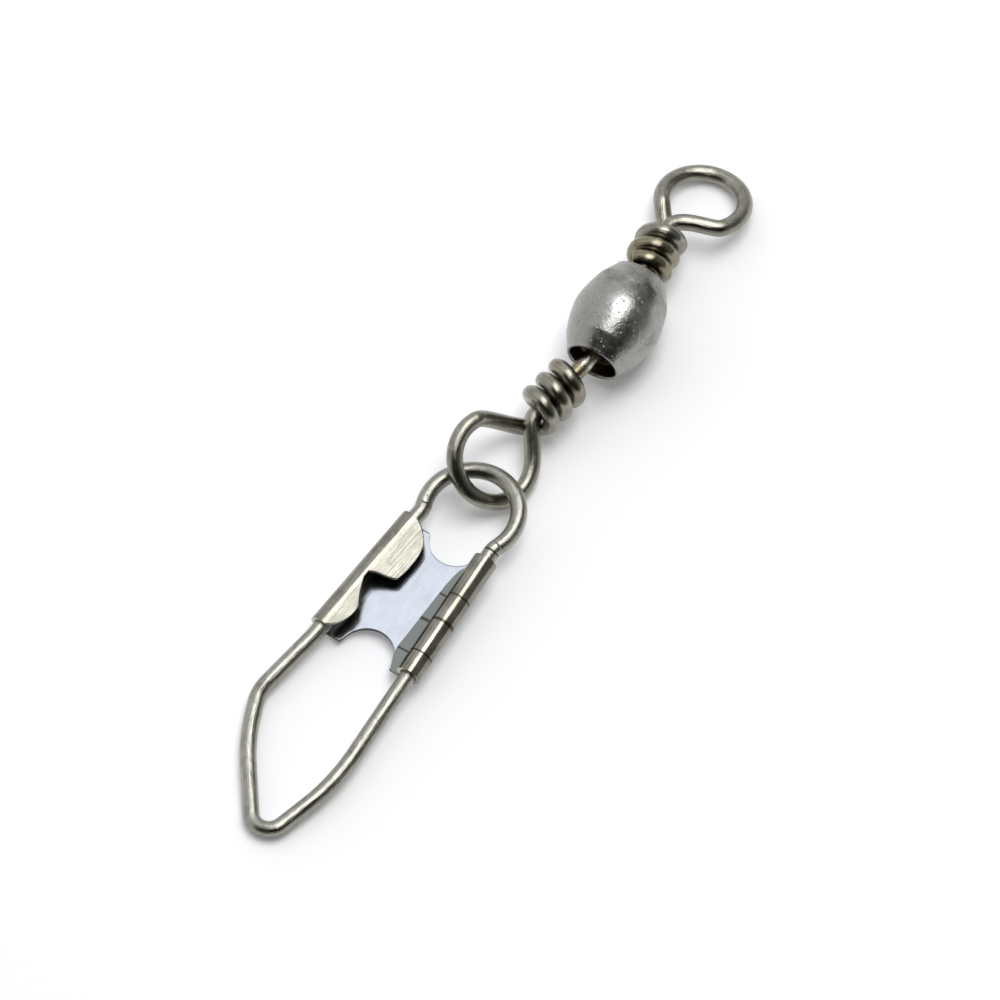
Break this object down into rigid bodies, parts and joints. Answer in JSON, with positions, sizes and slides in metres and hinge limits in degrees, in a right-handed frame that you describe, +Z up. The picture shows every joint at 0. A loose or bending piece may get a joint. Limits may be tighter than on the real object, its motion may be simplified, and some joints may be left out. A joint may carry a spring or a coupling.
{
  "type": "fishing snap swivel",
  "caption": "Fishing snap swivel: a hollow barrel with a wrapped wire eye at each end, one carrying a bent wire snap that a folded sheet clasp holds shut.",
  "frame": {"origin": "centre of the footprint's bounding box, on the surface that the swivel lies on", "axes": "+X runs along the swivel from the snap's pointed loop to the line eye, +Y to the left of that, +Z up"},
  "size_m": [0.0626, 0.0104, 0.0065],
  "materials": {
    "barrel": "satin black nickel plating",
    "line_eye": "polished black nickel plating",
    "snap_eye": "polished black nickel plating",
    "snap_wire": "polished black nickel plating",
    "clasp": "bright rolled sheet, nickel plated"
  },
  "bodies": {
    "snap": {"snap_wire": "snap_wire", "clasp": "clasp"},
    "lower_eye": {"snap_eye": "snap_eye"},
    "barrel": {"barrel": "barrel"},
    "upper_eye": {"line_eye": "line_eye"}
  },
  "joints": [
    {"name": "snap_eye_swing", "type": "hinge", "parent": "snap", "child": "lower_eye", "pos_m": [-0.00029, 0.00173, 0.00215], "axis": [0.762, -0.6432, 0.0753], "range_deg": [-6, 118]},
    {"name": "barrel_swivel", "type": "hinge", "parent": "lower_eye", "child": "barrel", "pos_m": [0.01336, -0.00197, 0.00319], "axis": [-0.9825, 0.1732, -0.068], "continuous": true},
    {"name": "line_eye_swivel", "type": "hinge", "parent": "barrel", "child": "upper_eye", "pos_m": [0.01794, -0.00163, 0.00335], "axis": [0.9723, 0.1925, -0.1323], "continuous": true}
  ]
}
